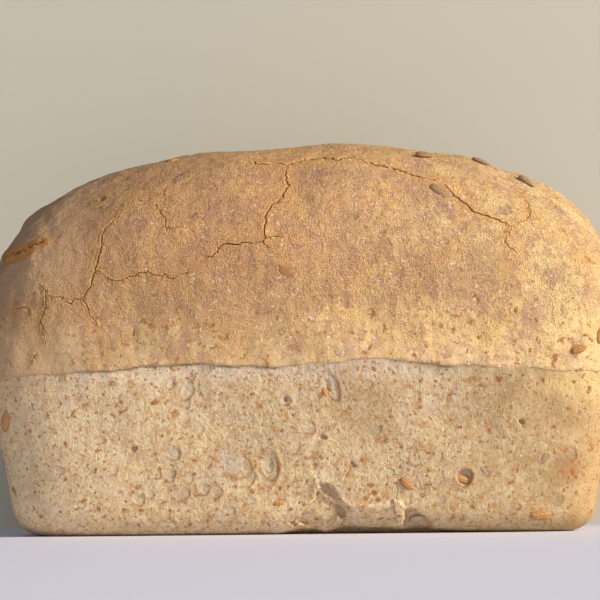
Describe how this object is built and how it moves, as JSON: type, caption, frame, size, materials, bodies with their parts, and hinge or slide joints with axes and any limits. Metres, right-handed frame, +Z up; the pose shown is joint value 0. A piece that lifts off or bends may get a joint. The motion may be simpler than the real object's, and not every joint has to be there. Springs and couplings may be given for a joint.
{
  "type": "sunflower seed tin loaf",
  "caption": "Whole uncut tin loaf of bread with straight tapered sides, a tall cracked domed crust and sunflower kernels baked into it.",
  "frame": {"origin": "on the table under the middle of the loaf, at the bottom centre of its bounding box", "axes": "+X along the loaf, to the right when it is seen from the front; the front is at -Y; +Z up"},
  "size_m": [0.2416, 0.1303, 0.1511],
  "materials": {
    "crust": "dry, matte baked crust"
  },
  "bodies": {
    "root": {"loaf": "crust"}
  },
  "joints": []
}
